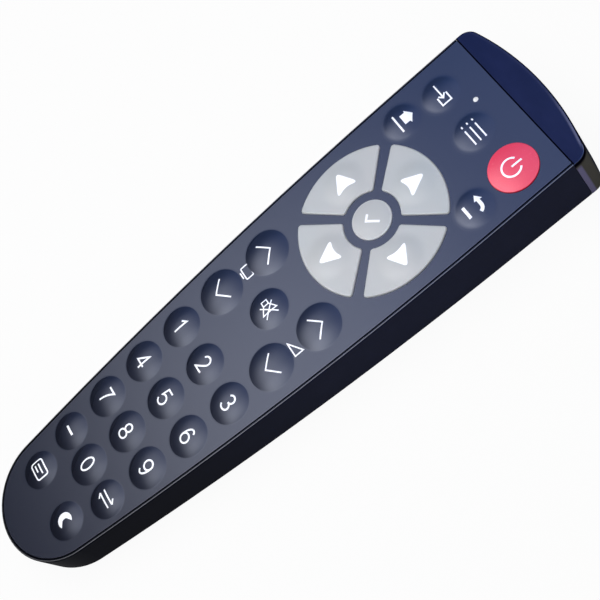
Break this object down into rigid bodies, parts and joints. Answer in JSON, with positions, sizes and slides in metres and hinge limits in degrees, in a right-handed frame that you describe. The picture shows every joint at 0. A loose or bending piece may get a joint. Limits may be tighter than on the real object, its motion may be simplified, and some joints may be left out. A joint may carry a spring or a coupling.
{
  "type": "tv remote control",
  "caption": "Long handheld infrared remote control that tapers to a rounded tail, with domed rubber keys, a ring of arrow pads around an enter key and a battery door in its flat back.",
  "frame": {"origin": "on the flat back, under the middle of the overall length and width", "axes": "+Y towards the infrared window at the head, +Z out of the keys, +X to the right of the power key's side with the keys up"},
  "size_m": [0.0592, 0.2109, 0.0214],
  "materials": {
    "case_black": "fine satin moulded plastic",
    "window_blue": "dark blue translucent plastic that passes infrared",
    "face_navy": "satin silicone sheet",
    "key_navy": "satin silicone, printed",
    "key_grey": "satin silicone, printed",
    "key_red": "satin silicone, printed",
    "web_rubber": "plain silicone",
    "board_green": "glass-filled laminate with lacquer",
    "contact_metal": "plated contacts",
    "light_pipe": "clear light pipe",
    "lamp_white": "small surface lamp",
    "emitter_lens": "tinted epoxy lens",
    "chip_black": "moulded epoxy",
    "resonator_metal": "dipped ceramic",
    "capacitor_sleeve": "shrunk sleeve",
    "cell_jacket": "printed jacket over steel",
    "spring_steel": "nickel-plated spring steel",
    "screw_steel": "zinc-plated steel"
  },
  "bodies": {
    "housing": {"back_shell": "case_black", "ir_window": "window_blue", "face_skin": "face_navy", "front_frame": "case_black", "keymat_web": "web_rubber", "circuit_board": "board_green", "contact_pads": "contact_metal", "indicator_light_pipe": "light_pipe", "indicator_led": "lamp_white", "ir_led_left": "emitter_lens", "ir_led_right": "emitter_lens", "controller_chip": "chip_black", "resonator": "resonator_metal", "driver_transistor": "chip_black", "capacitor": "capacitor_sleeve", "resistors": "chip_black", "battery_1": "cell_jacket", "battery_2": "cell_jacket", "bridge_contact": "spring_steel", "positive_contact": "spring_steel", "negative_contact": "spring_steel", "case_screws": "screw_steel"},
    "door": {"battery_door": "case_black"},
    "input_key_body": {"input_key": "key_navy"},
    "guide_key_body": {"guide_key": "key_navy"},
    "power_key_body": {"power_key": "key_red"},
    "home_key_body": {"home_key": "key_navy"},
    "back_key_body": {"back_key": "key_navy"},
    "enter_key_body": {"enter_key": "key_grey"},
    "channel_up_body": {"channel_up": "key_navy"},
    "channel_down_body": {"channel_down": "key_navy"},
    "mute_key_body": {"mute_key": "key_navy"},
    "volume_up_body": {"volume_up": "key_navy"},
    "volume_down_body": {"volume_down": "key_navy"},
    "dash_key_body": {"dash_key": "key_navy"},
    "recall_key_body": {"recall_key": "key_navy"},
    "caption_key_body": {"caption_key": "key_navy"},
    "sleep_key_body": {"sleep_key": "key_navy"},
    "digit_0_body": {"digit_0": "key_navy"},
    "digit_1_body": {"digit_1": "key_navy"},
    "digit_2_body": {"digit_2": "key_navy"},
    "digit_3_body": {"digit_3": "key_navy"},
    "digit_4_body": {"digit_4": "key_navy"},
    "digit_5_body": {"digit_5": "key_navy"},
    "digit_6_body": {"digit_6": "key_navy"},
    "digit_7_body": {"digit_7": "key_navy"},
    "digit_8_body": {"digit_8": "key_navy"},
    "digit_9_body": {"digit_9": "key_navy"},
    "nav_up_body": {"nav_up": "key_grey"},
    "nav_down_body": {"nav_down": "key_grey"},
    "nav_left_body": {"nav_left": "key_grey"},
    "nav_right_body": {"nav_right": "key_grey"}
  },
  "joints": [
    {"name": "battery_door_hinge", "type": "hinge", "parent": "housing", "child": "door", "pos_m": [0, 0.09247, 0], "axis": [1, 0, 0], "range_deg": [0, 60]},
    {"name": "input_key_press", "type": "slide", "parent": "housing", "child": "input_key_body", "axis": [0, 0.0401, -0.9992], "range_m": [0, 0.0008], "stiffness_N_per_m": 700, "springref_m": -0.0006},
    {"name": "guide_key_press", "type": "slide", "parent": "housing", "child": "guide_key_body", "axis": [0, 0.0401, -0.9992], "range_m": [0, 0.0008], "stiffness_N_per_m": 700, "springref_m": -0.0006},
    {"name": "power_key_press", "type": "slide", "parent": "housing", "child": "power_key_body", "axis": [0, 0.0401, -0.9992], "range_m": [0, 0.0008], "stiffness_N_per_m": 700, "springref_m": -0.0006},
    {"name": "home_key_press", "type": "slide", "parent": "housing", "child": "home_key_body", "axis": [0, 0.0401, -0.9992], "range_m": [0, 0.0008], "stiffness_N_per_m": 700, "springref_m": -0.0006},
    {"name": "back_key_press", "type": "slide", "parent": "housing", "child": "back_key_body", "axis": [0, 0.0401, -0.9992], "range_m": [0, 0.0008], "stiffness_N_per_m": 700, "springref_m": -0.0006},
    {"name": "enter_key_press", "type": "slide", "parent": "housing", "child": "enter_key_body", "axis": [0, 0.0401, -0.9992], "range_m": [0, 0.0008], "stiffness_N_per_m": 700, "springref_m": -0.0006},
    {"name": "channel_up_press", "type": "slide", "parent": "housing", "child": "channel_up_body", "axis": [0, 0.0401, -0.9992], "range_m": [0, 0.0008], "stiffness_N_per_m": 700, "springref_m": -0.0006},
    {"name": "channel_down_press", "type": "slide", "parent": "housing", "child": "channel_down_body", "axis": [0, 0.0401, -0.9992], "range_m": [0, 0.0008], "stiffness_N_per_m": 700, "springref_m": -0.0006},
    {"name": "mute_key_press", "type": "slide", "parent": "housing", "child": "mute_key_body", "axis": [0, 0.0401, -0.9992], "range_m": [0, 0.0008], "stiffness_N_per_m": 700, "springref_m": -0.0006},
    {"name": "volume_up_press", "type": "slide", "parent": "housing", "child": "volume_up_body", "axis": [0, 0.0401, -0.9992], "range_m": [0, 0.0008], "stiffness_N_per_m": 700, "springref_m": -0.0006},
    {"name": "volume_down_press", "type": "slide", "parent": "housing", "child": "volume_down_body", "axis": [0, 0.0401, -0.9992], "range_m": [0, 0.0008], "stiffness_N_per_m": 700, "springref_m": -0.0006},
    {"name": "dash_key_press", "type": "slide", "parent": "housing", "child": "dash_key_body", "axis": [0, 0.0401, -0.9992], "range_m": [0, 0.0008], "stiffness_N_per_m": 700, "springref_m": -0.0006},
    {"name": "recall_key_press", "type": "slide", "parent": "housing", "child": "recall_key_body", "axis": [0, 0.0401, -0.9992], "range_m": [0, 0.0008], "stiffness_N_per_m": 700, "springref_m": -0.0006},
    {"name": "caption_key_press", "type": "slide", "parent": "housing", "child": "caption_key_body", "axis": [0, 0.0401, -0.9992], "range_m": [0, 0.0008], "stiffness_N_per_m": 700, "springref_m": -0.0006},
    {"name": "sleep_key_press", "type": "slide", "parent": "housing", "child": "sleep_key_body", "axis": [0, 0.0401, -0.9992], "range_m": [0, 0.0008], "stiffness_N_per_m": 700, "springref_m": -0.0006},
    {"name": "digit_0_press", "type": "slide", "parent": "housing", "child": "digit_0_body", "axis": [0, 0.0401, -0.9992], "range_m": [0, 0.0008], "stiffness_N_per_m": 700, "springref_m": -0.0006},
    {"name": "digit_1_press", "type": "slide", "parent": "housing", "child": "digit_1_body", "axis": [0, 0.0401, -0.9992], "range_m": [0, 0.0008], "stiffness_N_per_m": 700, "springref_m": -0.0006},
    {"name": "digit_2_press", "type": "slide", "parent": "housing", "child": "digit_2_body", "axis": [0, 0.0401, -0.9992], "range_m": [0, 0.0008], "stiffness_N_per_m": 700, "springref_m": -0.0006},
    {"name": "digit_3_press", "type": "slide", "parent": "housing", "child": "digit_3_body", "axis": [0, 0.0401, -0.9992], "range_m": [0, 0.0008], "stiffness_N_per_m": 700, "springref_m": -0.0006},
    {"name": "digit_4_press", "type": "slide", "parent": "housing", "child": "digit_4_body", "axis": [0, 0.0401, -0.9992], "range_m": [0, 0.0008], "stiffness_N_per_m": 700, "springref_m": -0.0006},
    {"name": "digit_5_press", "type": "slide", "parent": "housing", "child": "digit_5_body", "axis": [0, 0.0401, -0.9992], "range_m": [0, 0.0008], "stiffness_N_per_m": 700, "springref_m": -0.0006},
    {"name": "digit_6_press", "type": "slide", "parent": "housing", "child": "digit_6_body", "axis": [0, 0.0401, -0.9992], "range_m": [0, 0.0008], "stiffness_N_per_m": 700, "springref_m": -0.0006},
    {"name": "digit_7_press", "type": "slide", "parent": "housing", "child": "digit_7_body", "axis": [0, 0.0401, -0.9992], "range_m": [0, 0.0008], "stiffness_N_per_m": 700, "springref_m": -0.0006},
    {"name": "digit_8_press", "type": "slide", "parent": "housing", "child": "digit_8_body", "axis": [0, 0.0401, -0.9992], "range_m": [0, 0.0008], "stiffness_N_per_m": 700, "springref_m": -0.0006},
    {"name": "digit_9_press", "type": "slide", "parent": "housing", "child": "digit_9_body", "axis": [0, 0.0401, -0.9992], "range_m": [0, 0.0008], "stiffness_N_per_m": 700, "springref_m": -0.0006},
    {"name": "nav_up_press", "type": "slide", "parent": "housing", "child": "nav_up_body", "axis": [0, 0.0401, -0.9992], "range_m": [0, 0.0008], "stiffness_N_per_m": 700, "springref_m": -0.0006},
    {"name": "nav_down_press", "type": "slide", "parent": "housing", "child": "nav_down_body", "axis": [0, 0.0401, -0.9992], "range_m": [0, 0.0008], "stiffness_N_per_m": 700, "springref_m": -0.0006},
    {"name": "nav_left_press", "type": "slide", "parent": "housing", "child": "nav_left_body", "axis": [0, 0.0401, -0.9992], "range_m": [0, 0.0008], "stiffness_N_per_m": 700, "springref_m": -0.0006},
    {"name": "nav_right_press", "type": "slide", "parent": "housing", "child": "nav_right_body", "axis": [0, 0.0401, -0.9992], "range_m": [0, 0.0008], "stiffness_N_per_m": 700, "springref_m": -0.0006}
  ]
}
